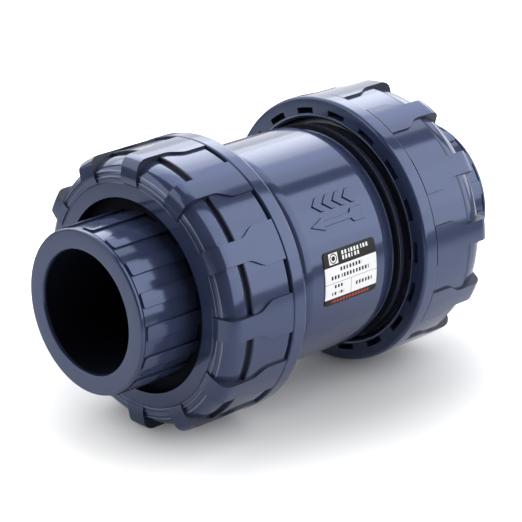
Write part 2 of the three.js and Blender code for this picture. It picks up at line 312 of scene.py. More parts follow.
def skinMaterial(name, colour, values, specular=0.5, tint=(1, 1, 1)):
    material, nodes, link, shader = newMaterial(name)
    shader.inputs["Specular IOR Level"].default_value = specular
    shader.inputs["Specular Tint"].default_value = (*tint, 1)
    skin = nodes.new("ShaderNodeGroup")
    skin.node_tree = skinGroup
    skin.inputs["Colour"].default_value = (*colour, 1)
    for label, value in values.items():
        skin.inputs[label].default_value = value
    link(skin.outputs["Colour"], shader.inputs["Base Color"])
    link(skin.outputs["Roughness"], shader.inputs["Roughness"])
    link(skin.outputs["Normal"], shader.inputs["Normal"])
    return material


pvcSheen = (0.53, 0.64, 1.0)
pvcShell = skinMaterial("pvcShell", (0.037, 0.048, 0.1),
                        {"Gloss": 0.1, "Gloss Spread": 0.05, "Skin Height": 0.03}, 1.0, pvcSheen)
# painted shade: a darker copy of the PVC for the nut's rear face and the body's shoulder behind the nut
pvcPaintedShade = skinMaterial("pvcPaintedShade", (0.03, 0.039, 0.08), {"Gloss": 0.12, "Gloss Spread": 0.05}, 1.0, pvcSheen)
# painted highlight: a light copy of the PVC for thin highlight lines on rims and edges
pvcPaintedHighlight = skinMaterial("pvcPaintedHighlight", (0.17, 0.2, 0.3), {"Gloss": 0.16, "Gloss Spread": 0.05}, 0.85)
# painted shade: a dark copy of the PVC for creases, lug walls and the walls of raised marks and pads
pvcPaintedCreaseShade = skinMaterial("pvcPaintedCreaseShade", (0.016, 0.021, 0.045), {"Gloss": 0.35, "Gloss Spread": 0.1}, 0.3)
# painted shade: a near-black copy of the PVC for bores, threads, gaps and the flange inside the nuts
pvcPaintedRecessShade = skinMaterial("pvcPaintedRecessShade", (0.006, 0.007, 0.014), {"Gloss": 0.6, "Gloss Spread": 0.1}, 0.08)
pvcTurned = skinMaterial("pvcTurned", (0.036, 0.048, 0.088), {"Gloss": 0.32, "Gloss Spread": 0.08})
ballPvc = skinMaterial("ballPvc", (0.06, 0.075, 0.13),
                       {"Gloss": 0.16, "Gloss Spread": 0.04, "Skin Height": 0.02})
sealRubber = skinMaterial("sealRubber", (0.012, 0.012, 0.014),
                          {"Gloss": 0.5, "Gloss Spread": 0.2, "Cloud Amount": 0.3, "Skin Height": 0.2}, 0.4)
print("materials made")


# the body: one outline serves both ends, with the ball chamber turned inside it

bodySizes = {
    "end": farX("valve_body"), "endChamfer": 1.1, "barrelRadius": 39.6, "barrelHalf": 16.5,
    "shoulderEnd": 21.6, "shoulderRadius": 37.2, "shoulderFullness": 0.72, "edge": 0.35,
    "collarStart": 23.9, "collarEnd": 25.6, "collarRadius": 39.4, "collarRamp": 0.5,
    "threadRoot": 38.2, "threadCrest": outerRadius("valve_body"), "threadPitch": 5.0, "threadStart": 28.4,
    "threadTurns": 3.4, "threadFoot": 2.9, "threadTip": 1.1, "threadBury": 0.4,
    "inletBore": 30.2, "inletFloor": 23.7, "chamber": 27.5, "funnelStart": 30, "funnelEnd": 42.5,
    "waterway": 16.4, "grooveInner": 32.05, "grooveOuter": 35.75, "grooveDepth": 2.9,
}
ribSizes = {
    "count": 4, "firstAngle": 45, "thickness": 3.6, "guideRadius": 22.4, "edge": 0.5, "bury": 1,
    "ballClosed": (nearX("check_ball") + farX("check_ball")) / 2, "ballTravel": 18.0, "stopGap": 0.1,
    "stopAngle": 138, "tip": (-28, 15.6), "foot": (-39, 20.4),
}


def threadedEnd(s):
    return [
        *blendCurve((s["barrelHalf"], s["barrelRadius"]), (s["shoulderEnd"], s["shoulderRadius"]), 8,
                    s["shoulderFullness"]),
        (s["collarStart"], s["shoulderRadius"]), (s["collarStart"] + s["collarRamp"], s["collarRadius"]),
        (s["collarEnd"], s["collarRadius"]), (s["collarEnd"] + s["collarRamp"], s["threadRoot"]),
        (s["end"] - s["endChamfer"], s["threadRoot"]), (s["end"], s["threadRoot"] - s["endChamfer"]),
        (s["end"], s["grooveOuter"]), (s["end"] - s["grooveDepth"], s["grooveOuter"]),
        (s["end"] - s["grooveDepth"], s["grooveInner"]), (s["end"], s["grooveInner"]),
    ]


def guideRib(s, angle):
    # the ball runs on the ribs, which curve in at the outlet end and stop it
    outer = bodySizes["chamber"] + s["bury"]
    start = bodySizes["inletFloor"] - s["bury"]
    ballOpen = s["ballClosed"] - s["ballTravel"]
    stop = arc((ballOpen, 0), s["guideRadius"] - s["stopGap"], 90, s["stopAngle"], 10)
    bm = bmesh.new()
    points = [(start, outer), (start, s["guideRadius"]), *stop, s["tip"], s["foot"],
              (-bodySizes["funnelStart"], outer)]
    face = bm.faces.new([bm.verts.new((x * mm, -s["thickness"] / 2 * mm, r * mm)) for x, r in points])
    bmesh.ops.translate(bm, verts=pull(bm, [face]), vec=(0, s["thickness"] * mm, 0))
    bmesh.ops.recalc_face_normals(bm, faces=bm.faces)
    soften(bm, s["edge"], 3, 50)
    turnTo(bm, angle)
    return bm


def bodyFinishesAndPaintedShading(s):
    # the gap behind a nut is painted near-black as shade, with thin painted highlight lines on the collar and
    # the first thread; painted shade on the shoulder, a turned finish on the threads further in
    outside = s["shoulderRadius"] - 0.7
    collar = (s["collarStart"] - 0.1, s["collarEnd"] - 0.1)
    threads = s["collarEnd"] + 0.6
    gapEnd = s["threadStart"] + 1.1
    return (
        (pvcPaintedHighlight, lambda f: threads < f.x < gapEnd and f.radius > s["threadCrest"] - 0.1),
        (pvcPaintedHighlight, lambda f: abs(f.x - s["collarEnd"] + 0.05) < 0.25 and f.radius > s["collarRadius"] - 0.2),
        (pvcTurned, lambda f: f.x > gapEnd and f.radius > outside),
        (pvcPaintedRecessShade, lambda f: f.x > threads and f.radius > outside),
        (pvcPaintedRecessShade, lambda f: collar[0] < f.x < collar[1] and f.radius > outside + 1.5),
        (pvcPaintedShade, lambda f: s["shoulderEnd"] < f.x < threads and f.radius > outside))


def makeBody():
    s = bodySizes
    bm = bmesh.new()
    right = threadedEnd(s)
    left = [(-x, r) for x, r in reversed(right)]
    inside = [(s["end"], s["inletBore"]), (s["inletFloor"], s["inletBore"]), (s["inletFloor"], s["chamber"]),
              (-s["funnelStart"], s["chamber"]), (-s["funnelEnd"], s["waterway"]), (-s["end"], s["waterway"])]
    turn(bm, right + inside + left)
    soften(bm, s["edge"])
    for heading in (0, math.pi):
        ridge = threadRidge(s["threadStart"], s["threadTurns"], s["threadRoot"] - s["threadBury"],
                            s["threadCrest"], s["threadFoot"], s["threadTip"], s["threadPitch"])
        bmesh.ops.rotate(ridge, verts=ridge.verts, cent=(0, 0, 0), matrix=Matrix.Rotation(heading, 3, "Z"))
        join(bm, ridge)
    for i in range(ribSizes["count"]):
        join(bm, guideRib(ribSizes, ribSizes["firstAngle"] + i * 360 / ribSizes["count"]))
    finishPiece("valveBody", bm, pvcShell, "valve_body", ["valve_body"], finishesAndPaintedShading=bodyFinishesAndPaintedShading(s))


makeBody()


# the raised flow marks: an arrow with a swallow tail, and a row of chevrons above it

markSizes = {
    "height": 0.55, "bevel": 0.2, "sunk": 0.8, "cuts": 0.6, "arrowAngle": 58.4, "tip": -13.2, "headEnd": -7.2,
    "headHalf": 2.3, "shaftHalf": 1.0, "shaftEnd": 5.2, "tailStart": 6.4, "tailHalf": 2.4, "tailEnd": 11.6,
    "tailNotch": 10.2, "chevronAngle": 48.6, "chevrons": 4, "firstChevron": -6.0, "chevronPitch": 4.8,
    "chevronReach": 3, "chevronHalf": 2.7, "chevronBar": 1.6,
}


def raisedMark(s, points, angle):
    return relief(points, bodySizes["barrelRadius"], s["sunk"], s["height"], s["bevel"], angle, s["cuts"])


def makeFlowMarks():
    s = markSizes
    half = [(s["tip"], 0), (s["headEnd"], s["headHalf"]), (s["headEnd"], s["shaftHalf"]),
            (s["shaftEnd"], s["shaftHalf"]), (s["tailStart"], s["tailHalf"]), (s["tailEnd"], s["tailHalf"]),
            (s["tailNotch"], 0)]
    bm = raisedMark(s, half + [(x, -y) for x, y in reversed(half[1:-1])], s["arrowAngle"])
    for i in range(s["chevrons"]):
        x = s["firstChevron"] + i * s["chevronPitch"]
        front = [(x, s["chevronHalf"]), (x - s["chevronReach"], 0), (x, -s["chevronHalf"])]
        back = [(along + s["chevronBar"], y) for along, y in reversed(front)]
        join(bm, raisedMark(s, front + back, s["chevronAngle"]))
    # the marks' side walls get painted crease shade
    finishPiece("flowMarks", bm, pvcShell, "valve_body", [], finishesAndPaintedShading=(
        (pvcPaintedCreaseShade, lambda f: f.outward < 0.5),))


makeFlowMarks()
print("body made")


# the union nuts: a turned shell with slots in its rear face, and lugs that run over the nose

nutSizes = {
    "rear": nearX("union_nut_inlet"), "rearRound": 1.2, "ring": outerRadius("union_nut_inlet"),
    "ringEnd": 34.55, "ringChamfer": 0.35, "grooveEnd": 35.4, "grooveRadius": 46.0, "panel": 47.3,
    "panelFront": 52.4, "panelLine": 0.75, "panelRound": 0.4, "valley": 45.8, "valleyEnd": 53.1,
    "noseStart": 53.6, "nose": 46.1, "noseFront": 61.4, "noseFoot": 42.4, "noseFullness": 0.88,
    "front": 62.0, "step": 40.5, "face": 38.6,
    # both in pairs: behind the front, and outside the step or the face
    "fineSteps": ((0.45, 1.2), (0.3, 0.9), (0.55, 0.6), (0.15, 0.15), (0.1, -0.1)),
    "faceLine": ((0.1, 0.6), (0.4, 0.3), (0.05, 0), (0, -0.1)),
    "hole": 33.6, "lipInner": 57.3, "bore": 38.2, "threadRoot": 40.5, "threadCrest": 38.7, "threadPitch": 5.0,
    "threadTurns": 2.8, "threadEnd": 46.2, "threadRamp": 1, "threadBury": 0.5, "mouthChamfer": 1,
    "mouthLine": 0.45, "slotInner": 42.3, "slotOuter": 44.3, "slotDepth": 4.9, "edge": 0.18,
}
lugSizes = {
    "count": 12, "start": 34.8, "topEnd": 57.6, "front": farX("union_nut_inlet"), "radius": 48.1,
    "foot": 39.2, "wide": 6.8, "narrow": 3.8, "neckStart": 43, "neckLong": 7, "topSteps": 18, "noseSteps": 8,
    "across": 6, "noseFullness": 0.82, "face": ((0.4, 43.8), (0.1, 42.2), (0, 40.9)),  # behind front, radius
    "depth": 3, "root": 44.0, "backFromFront": 2.6, "edge": 0.42,
}


def nutShell(s):
    bm = bmesh.new()
    rear, front, back, edge = s["rear"], s["front"], s["rearRound"], s["panelRound"]
    mouth = s["threadRoot"] + s["mouthChamfer"]
    turn(bm, [
        (rear, s["slotInner"]), (rear, s["slotOuter"]), (rear, s["ring"] - back),
        *arc((rear + back, s["ring"] - back), back, 180, 90, 4)[1:],
        (s["ringEnd"] - s["ringChamfer"], s["ring"]), (s["ringEnd"], s["ring"] - s["ringChamfer"]),
        (s["ringEnd"], s["grooveRadius"]), (s["grooveEnd"], s["grooveRadius"]), (s["grooveEnd"], s["panel"]),
        (s["panelFront"] - s["panelLine"], s["panel"]), (s["panelFront"] - edge, s["panel"] - 0.03),
        *arc((s["panelFront"] - edge, s["panel"] - edge), edge, 90, 0, 3)[1:],
        (s["panelFront"] + 0.1, s["valley"]), (s["valleyEnd"], s["valley"]),
        *blendCurve((s["noseStart"], s["nose"]), (s["noseFront"], s["noseFoot"]), 14, s["noseFullness"]),
        *[(front - behind, s["step"] + outside) for behind, outside in s["fineSteps"]],
        *[(front - behind, s["face"] + outside) for behind, outside in s["faceLine"]], (front, s["hole"]),
        (s["lipInner"], s["hole"]), (s["lipInner"], s["bore"]), (s["threadEnd"] + s["threadRamp"], s["bore"]),
        (s["threadEnd"], s["threadRoot"]), (rear + s["mouthChamfer"], s["threadRoot"]), (rear, mouth),
        # a narrow strip round the mouth on the rear face, there for a painted highlight line
        (rear, mouth + s["mouthLine"]),
    ])
    slots = []
    for face in bm.faces:
        centre = face.calc_center_median()
        radius = math.hypot(centre.y, centre.z) / mm
        if abs(centre.x / mm - rear) < 0.01 and s["slotInner"] < radius < s["slotOuter"]:
            step = math.degrees(math.atan2(-centre.y, centre.z)) % 360 * circleSteps / 360
            if int(step) % (2 * slotSteps) < slotSteps:
                slots.append(face)
    sink(bm, slots, s["slotDepth"])
    soften(bm, s["edge"], 2, 40)
    return bm


def lugTop(s):
    # stations along a lug as (x, radius): over the top, round the nose and down the front
    reach = s["topEnd"] - s["start"]
    top = [(s["start"] + reach * i / s["topSteps"], s["radius"]) for i in range(s["topSteps"])]
    over = blendCurve((s["topEnd"], s["radius"]), (s["front"] - 0.8, nutSizes["nose"] - 0.5), s["noseSteps"],
                      s["noseFullness"])
    down = [(s["front"] - behind, r) for behind, r in s["face"]]
    return top + over + down + [(s["front"] - 0.25, s["foot"])]


def lugUnder(s):
    # the same stations on the underside, buried in the nut
    return [(min(x, s["front"] - s["backFromFront"]), max(s["foot"], min(r - s["depth"], s["root"])))
            for x, r in lugTop(s)]


def lugHalfWidth(s, x):
    # wide over the panel, then a smooth step in to the narrow nose
    t = min(1, max(0, (x - s["neckStart"]) / s["neckLong"]))
    return s["wide"] + (s["narrow"] - s["wide"]) * t * t * (3 - 2 * t)


def makeLug(s, angle):
    # a grid laid along the top stations, with a thickened underside
    top = lugTop(s)
    bm = bmesh.new()
    bmesh.ops.create_grid(bm, x_segments=len(top) - 1, y_segments=s["across"], size=0.5)
    upper = pull(bm, bm.faces[:])
    lower = [v for v in bm.verts if v not in upper]
    for verts, path in ((upper, top), (lower, lugUnder(s))):
        for v in verts:
            station = round((v.co.x + 0.5) * (len(top) - 1))
            side = v.co.y * 2 * lugHalfWidth(s, top[station][0])
            x, r = path[station]
            v.co = Vector((x, -side, math.sqrt(r * r - side * side))) * mm
    bmesh.ops.recalc_face_normals(bm, faces=bm.faces)
    soften(bm, s["edge"], 2, 50)
    turnTo(bm, angle)
    return bm


def nutPaintedShading(s):
    # painted highlight rims, painted shade on the rear face, threads and bore painted near-black as shade,
    # painted shade lines beside the lugs and the panels
    flat = 0.3
    backFace = s["rear"] + 0.35
    threads = (s["rear"] + 0.65, s["threadEnd"] + 1.1)
    return (
        (pvcPaintedHighlight, lambda f: f.sideways < flat and s["noseFront"] - 0.2 < f.x < s["noseFront"] + 0.1
            and s["noseFoot"] - 0.1 < f.radius < s["noseFoot"] + 0.4),
        (pvcPaintedHighlight, lambda f: f.sideways < flat and s["front"] - 0.4 < f.x < s["front"] - 0.1
            and abs(f.radius - s["step"]) < 0.2),
        (pvcPaintedHighlight, lambda f: f.sideways < flat and f.x < backFace
            and s["threadRoot"] + 0.9 < f.radius < s["threadRoot"] + 1.45),
        (pvcPaintedRecessShade, lambda f: f.radius < s["face"] - 0.1 and f.x < s["front"] - 0.1),
        (pvcPaintedRecessShade, lambda f: f.radius < s["threadRoot"] + 0.8 and threads[0] < f.x < threads[1]),
        (pvcPaintedShade, lambda f: f.x < backFace and f.radius < s["panel"]),
        (pvcPaintedCreaseShade, lambda f: f.sideways > 0.75 and f.x > s["grooveEnd"] + 0.6),
        (pvcPaintedCreaseShade, lambda f: s["panelFront"] - 1.1 < f.x < s["valleyEnd"] + 0.1
            and s["valley"] - 0.3 < f.radius < s["panel"] - 0.02))


def makeNut(name, node, body, lugPhase, turned):
    s = nutSizes
    bm = nutShell(s)
    join(bm, threadRidge(bodySizes["threadStart"] + s["threadPitch"] / 2, s["threadTurns"],
                         s["threadRoot"] + s["threadBury"], s["threadCrest"], bodySizes["threadFoot"],
                         bodySizes["threadTip"], s["threadPitch"]))
    for i in range(lugSizes["count"]):
        join(bm, makeLug(lugSizes, lugPhase + i * 360 / lugSizes["count"]))
    finishPiece(name, bm, pvcShell, body, [node], turned, nutPaintedShading(s))


halfTurn = Matrix.Rotation(math.pi, 4, "Z")
makeNut("inletNut", "union_nut_inlet", "inlet_nut", 23.1, None)
makeNut("outletNut", "union_nut_outlet", "outlet_nut", -28.4, halfTurn)
print("nuts made")


# the end connectors: a flange inside the nut and a socket hub with flat pads round it

connectorSizes = {
    "inner": nearX("end_connector_inlet"), "end": farX("end_connector_inlet"), "flangeEnd": 57.0,
    "flange": outerRadius("end_connector_inlet"), "flangeChamfer": 0.6, "hub": 28.3, "hubDrop": 0.2,
    "fillet": 1.6, "rimGroove": 81.05, "rimGrooveDepth": 0.35, "socket": 21.2, "socketTaper": 0.2,
    "depth": 31.8, "waterway": 16.4,
    "rimRound": ((0.7, 0), (0.2, 0.25), (0, 0.8)),   # behind the end, below the hub
    "mouthRound": ((0, 0.7), (0.3, 0.3), (1.2, 0)),  # behind the end, outside the socket
    "edge": 0.2, "steps": 160, "pads": 16, "padPhase": 1.3, "padHalf": 2.6, "padStart": 57.5, "padEnd": 80.9,
    "padHeight": 0.6, "padFoot": 1.2, "padCorner": 0.9, "padBevel": 0.22, "padCuts": 0.9,
}


def connectorPaintedShading(s):
    # painted shade: the flange inside the nut, the hub's foot by it and the socket bore are painted near-black,
    # and the pads' side walls get painted crease shade
    return (
        (pvcPaintedRecessShade, lambda f: f.radius > s["hub"] + 0.7 or f.x < s["flangeEnd"] + 1.7),
        (pvcPaintedRecessShade, lambda f: f.radius < s["socket"] + 0.1 and f.x < s["end"] - 0.9),
        (pvcPaintedCreaseShade, lambda f: f.radius > s["hub"] - 1.3 and f.x < s["padEnd"] + 0.1 and f.outward < 0.3))


def makeConnector(name, node, body, turned):
    s = connectorSizes
    bm = bmesh.new()
    chamfer, end, low = s["flangeChamfer"], s["end"], s["hub"] - s["hubDrop"]
    turn(bm, [
        (s["inner"], s["flange"] - chamfer), (s["inner"] + chamfer, s["flange"]),
        (s["flangeEnd"] - chamfer, s["flange"]), (s["flangeEnd"], s["flange"] - chamfer),
        *arc((s["flangeEnd"] + s["fillet"], low + s["fillet"]), s["fillet"], 180, 270, 4),
        (s["rimGroove"], low), (s["rimGroove"] + 0.1, low - s["rimGrooveDepth"]),
        (s["rimGroove"] + 0.4, low - s["rimGrooveDepth"]), (s["rimGroove"] + 0.5, s["hub"]),
        *[(end - behind, s["hub"] - below) for behind, below in s["rimRound"]],
        *[(end - behind, s["socket"] + outside) for behind, outside in s["mouthRound"]],
        (end - s["depth"], s["socket"] - s["socketTaper"]), (end - s["depth"], s["waterway"]),
        (s["inner"], s["waterway"]),
    ], s["steps"])
    soften(bm, s["edge"], 2, 40)
    outline = roundedBox((s["padStart"] + s["padEnd"]) / 2, 0, (s["padEnd"] - s["padStart"]) / 2,
                         s["padHalf"], s["padCorner"])
    for i in range(s["pads"]):
        join(bm, relief(outline, s["hub"], s["padFoot"], s["padHeight"], s["padBevel"],
                        s["padPhase"] + i * 360 / s["pads"], s["padCuts"]))
    finishPiece(name, bm, pvcShell, body, [node], turned, connectorPaintedShading(s))


makeConnector("inletConnector", "end_connector_inlet", "inlet_connector", None)
makeConnector("outletConnector", "end_connector_outlet", "outlet_connector", halfTurn)
print("connectors made")


# the ball, its seat and the seals

ballSizes = {
    "radius": outerRadius("check_ball"), "middle": ribSizes["ballClosed"], "steps": 64, "partingDepth": 0.05,
    "partingHalf": 0.3,
}
seatSizes = {
    "start": nearX("ball_seat"), "end": farX("ball_seat"), "outer": outerRadius("ball_seat"), "bore": 17.8,
    "lipLong": 1, "lipFlare": 0.5, "seatFlare": 2.15, "edge": 0.3,
}
supportSizes = {
    "start": nearX("seat_support_ring"), "end": farX("seat_support_ring"), "bore": 18.4, "groove": 2.6,
    "grooveHalf": 1.55, "sealInside": 1.2, "sealWire": 1.25, "edge": 0.25,
}
retainerSizes = {
    "start": nearX("seat_retaining_ring"), "end": farX("seat_retaining_ring"), "bore": 18.4, "firstTooth": 1,
    "teeth": 5, "toothPitch": 1.6, "toothDepth": 0.9, "startDrop": 0.8, "chamfer": 0.6, "keyOuter": 26.5,
    "keyInner": 20.4, "funnel": 3, "keys": 4, "keyHalf": 7.5, "keyDepth": 2.6,
}
faceRingSizes = {"x": 46.2, "radius": 33.9, "wire": 1.4}


def makeBall():
    s = ballSizes
    bm = bmesh.new()
    outline = []
    for x, r in arc((s["middle"], 0), s["radius"], 0, 180, s["steps"]):
        # a hairline of the mould's parting line round the middle
        outline.append((x, r - (s["partingDepth"] if abs(x - s["middle"]) < s["partingHalf"] else 0)))
    verts = [bm.verts.new((x * mm, 0, max(0, r) * mm)) for x, r in outline]
    edges = [bm.edges.new((a, b)) for a, b in zip(verts, verts[1:])]
    bmesh.ops.spin(bm, geom=verts + edges, cent=(0, 0, 0), axis=(1, 0, 0), dvec=(0, 0, 0), angle=2 * math.pi,
                   steps=ringSteps, use_merge=True, use_duplicate=False)
    bmesh.ops.remove_doubles(bm, verts=bm.verts, dist=1e-6)
    bmesh.ops.recalc_face_normals(bm, faces=bm.faces)
    finishPiece("checkBall", bm, ballPvc, "ball", ["check_ball"])


def makeRing(name, node, material, points, edge):
    bm = bmesh.new()
    turn(bm, points, ringSteps)
    if edge:
        soften(bm, edge, 2, 40)
    finishPiece(name, bm, material, "valve_body", [node])


def sealRing(name, node, x, radius, wire):
    makeRing(name, node, sealRubber, arc((x, radius), wire, 0, 360, 20)[:-1], 0)


def makeSeat():
    s = seatSizes
    makeRing("ballSeat", "ball_seat", sealRubber, [
        (s["start"], s["outer"]), (s["end"], s["outer"]), (s["end"], s["bore"]),
        (s["end"] - s["lipLong"], s["bore"] + s["lipFlare"]), (s["start"], s["bore"] + s["seatFlare"]),
    ], s["edge"])


def makeSupportRing():
    s = supportSizes
    outer, middle = seatSizes["outer"], (s["start"] + s["end"]) / 2
    left, right, floor = middle - s["grooveHalf"], middle + s["grooveHalf"], outer - s["groove"]
    makeRing("seatSupportRing", "seat_support_ring", pvcTurned, [
        (s["start"], outer), (left, outer), (left, floor), (right, floor), (right, outer), (s["end"], outer),
        (s["end"], s["bore"]), (s["start"], seatSizes["bore"] - 0.1)], s["edge"])
    sealRing("supportRingSeal", "support_ring_o_ring", middle, outer - s["sealInside"], s["sealWire"])


def makeRetainer():
    # a toothed rim for its thread, and four key slots in its face to turn it by
    s = retainerSizes
    outer = seatSizes["outer"]
    bm = bmesh.new()
    teeth = []
    for i in range(s["teeth"]):
        foot = s["start"] + s["firstTooth"] + i * s["toothPitch"]
        teeth += [(foot, outer), (foot + s["toothPitch"] / 2, outer - s["toothDepth"])]
    turn(bm, [(s["start"], outer - s["startDrop"]), *teeth, (s["end"] - s["chamfer"], outer),
              (s["end"], outer - s["chamfer"]), (s["end"], s["keyOuter"]), (s["end"], s["keyInner"]),
              (s["end"] - s["funnel"], s["bore"]), (s["start"], s["bore"])], ringSteps)
    keys = []
    for face in bm.faces:
        centre = face.calc_center_median()
        fromKey = (math.degrees(math.atan2(centre.y, centre.z)) + 360 / s["keys"] / 2) % (360 / s["keys"])
        onFace = abs(centre.x / mm - s["end"]) < 0.01 and math.hypot(centre.y, centre.z) / mm < s["keyOuter"]
        if onFace and abs(fromKey - 360 / s["keys"] / 2) < s["keyHalf"]:
            keys.append(face)
    sink(bm, keys, -s["keyDepth"])
    finishPiece("seatRetainingRing", bm, pvcTurned, "valve_body", ["seat_retaining_ring"])


makeBall()
makeSeat()
makeSupportRing()
makeRetainer()
for side, name in ((1, "inlet"), (-1, "outlet")):
    sealRing(name + "FaceRing", "face_o_ring_" + name, side * faceRingSizes["x"], faceRingSizes["radius"],
             faceRingSizes["wire"])
print("seat and seals made")


# the printed label

labelSizes = {
    "length": farX("spec_label") - nearX("spec_label"),
    "middleX": (farX("spec_label") + nearX("spec_label")) / 2, "middleAngle": 85.5, "spanAngle": 27.4,
    "standOff": 0.1, "thickness": 0.25, "corner": 1.3, "bevel": 0.08, "cuts": 0.8, "strokes": 17, "inked": 0.58,
}
labelInks = {
    "film": (0.9, 0.9, 0.92), "black": (0.012, 0.012, 0.011), "grey": (0.32, 0.33, 0.36),
    "red": (0.55, 0.05, 0.03),
}
# plain areas, at the size of the label: ink, middle along, middle down, half length, half height
labelHeader = (("black", 0.5, 0.14, 0.6, 0.14), ("film", 0.185, 0.14, 0.085, 0.1))
labelRules = (("grey", 0.5, 0.585, 0.6, 0.005), ("grey", 0.5, 0.73, 0.004, 0.145),
              ("black", 0.5, 0.94, 0.6, 0.065))
labelBadge = {"middle": (0.185, 0.14), "rings": ((0.09, "black"), (0.07, "film"), (0.045, "black"))}
# words are plain runs of strokes: ink, row, half height, first edge, lengths, space between
labelRows = (
    ("film", 0.085, 0.036, 0.35, (0.11, 0.21, 0.14), 0.025),
    ("film", 0.175, 0.036, 0.35, (0.2, 0.13), 0.025),
    ("black", 0.36, 0.034, 0.27, (0.17, 0.24), 0.03),
    ("black", 0.485, 0.034, 0.11, (0.17, 0.25, 0.25), 0.03),
    ("black", 0.655, 0.03, 0.17, (0.17,), 0),
    ("black", 0.785, 0.03, 0.13, (0.1, 0.1), 0.03),
    ("black", 0.72, 0.034, 0.59, (0.15, 0.13), 0.03),
)
labelFootRow = ("red", 0.5, 0.94, 0.36, 0.026)


def makeLabel():
    s = labelSizes
    radius = bodySizes["barrelRadius"] + s["standOff"]
    height = math.radians(s["spanAngle"]) * radius
    halfX, halfY = s["length"] / 2, height / 2
    outline = roundedBox(0, 0, halfX, halfY, s["corner"])
    bm = relief(outline, radius, 0, s["thickness"], s["bevel"], 0, s["cuts"])
    uv = bm.loops.layers.uv.new("print")
    for face in bm.faces:
        for loop in face.loops:
            co = loop.vert.co
            around = math.atan2(-co.y, co.z) * radius
            loop[uv].uv = ((co.x / mm + halfX) / s["length"], (around + halfY) / height)
    bmesh.ops.translate(bm, verts=bm.verts, vec=(s["middleX"] * mm, 0, 0))
    turnTo(bm, s["middleAngle"])
    finishPiece("specLabel", bm, labelPrint(), "valve_body", ["spec_label"])


def printBlock():
    # 1 inside a rectangle of the label, 0 outside; U runs along the valve, V down the label
    group, inside, out = newGroup(
        "printBlock",
        [("U", "NodeSocketFloat", 0), ("V", "NodeSocketFloat", 0), ("Centre U", "NodeSocketFloat", 0.5),
         ("Centre V", "NodeSocketFloat", 0.5), ("Half U", "NodeSocketFloat", 0.1),
         ("Half V", "NodeSocketFloat", 0.1), ("Strokes", "NodeSocketFloat", 0)],
        [("Mask", "NodeSocketFloat")])
    nodes, link = group.nodes, group.links.new
    both = mathNode(nodes, "MULTIPLY")
    for i, (along, centre, half) in enumerate((("U", "Centre U", "Half U"), ("V", "Centre V", "Half V"))):
        compare = mathNode(nodes, "COMPARE")
        link(inside.outputs[along], compare.inputs[0])
        link(inside.outputs[centre], compare.inputs[1])
        link(inside.outputs[half], compare.inputs[2])
        link(compare.outputs[0], both.inputs[i])
    # strokes: how many thin upright strokes fit across the label; none leaves the rectangle solid
    phase = mathNode(nodes, "MULTIPLY")
    link(inside.outputs["U"], phase.inputs[0])
    link(inside.outputs["Strokes"], phase.inputs[1])
    part = mathNode(nodes, "FRACT")
    link(phase.outputs[0], part.inputs[0])
    inked = mathNode(nodes, "LESS_THAN", second=labelSizes["inked"])
    link(part.outputs[0], inked.inputs[0])
    cut = mathNode(nodes, "MULTIPLY")
    link(both.outputs[0], cut.inputs[0])
    link(inked.outputs[0], cut.inputs[1])
    link(cut.outputs[0], out.inputs["Mask"])
    return group


def labelPrint():
    material, nodes, link, shader = newMaterial("labelPrint")
    shader.inputs["Roughness"].default_value = 0.38
    shader.inputs["Specular IOR Level"].default_value = 0.25
    place = nodes.new("ShaderNodeUVMap")
    place.uv_map = "print"
    split = nodes.new("ShaderNodeSeparateXYZ")
    link(place.outputs["UV"], split.inputs["Vector"])
    block = printBlock()
    colour = None

    def layer(mask, ink):
        # prints one ink over what is there
        nonlocal colour
        mix = nodes.new("ShaderNodeMix")
        mix.data_type = "RGBA"
        if colour is None:
            mix.inputs["A"].default_value = (*labelInks["film"], 1)
        else:
            link(colour, mix.inputs["A"])
        mix.inputs["B"].default_value = (*labelInks[ink], 1)
        link(mask, mix.inputs["Factor"])
        colour = mix.outputs["Result"]

    def bar(ink, u, v, halfU, halfV, strokes=0):
        mask = nodes.new("ShaderNodeGroup")
        mask.node_tree = block
        link(split.outputs["X"], mask.inputs["U"])
        link(split.outputs["Y"], mask.inputs["V"])
        for label, value in (("Centre U", u), ("Centre V", v), ("Half U", halfU), ("Half V", halfV),
                             ("Strokes", strokes)):
            mask.inputs[label].default_value = value
        layer(mask.outputs["Mask"], ink)

    for area in labelHeader:
        bar(*area)
    for radius, ink in labelBadge["rings"]:
        layer(roundMask(nodes, link, split, labelBadge["middle"], radius), ink)
    for ink, row, half, u, lengths, space in labelRows:
        for length in lengths:
            bar(ink, u + length / 2, row, length / 2, half, labelSizes["strokes"])
            u += length + space
    for area in labelRules:
        bar(*area)
    bar(*labelFootRow, labelSizes["strokes"])
    link(colour, shader.inputs["Base Color"])
    return material


def roundMask(nodes, link, split, middle, radius):
    # 1 inside a circle of the label, 0 outside; its radius is a share of the label's height
    aspect = labelSizes["length"] / (math.radians(labelSizes["spanAngle"]) * bodySizes["barrelRadius"])
    point = nodes.new("ShaderNodeCombineXYZ")
    for axis, scale, centre in (("X", aspect, middle[0]), ("Y", 1, middle[1])):
        away = mathNode(nodes, "SUBTRACT", second=centre)
        link(split.outputs[axis], away.inputs[0])
        scaled = mathNode(nodes, "MULTIPLY", second=scale)
        link(away.outputs[0], scaled.inputs[0])
        link(scaled.outputs[0], point.inputs[axis])
    length = nodes.new("ShaderNodeVectorMath")
    length.operation = "LENGTH"
    link(point.outputs["Vector"], length.inputs[0])
    inner = mathNode(nodes, "LESS_THAN", second=radius)
    link(length.outputs["Value"], inner.inputs[0])
    return inner.outputs[0]


makeLabel()
print("label made")


# the studio: a white floor, long panels round the valve and the camera

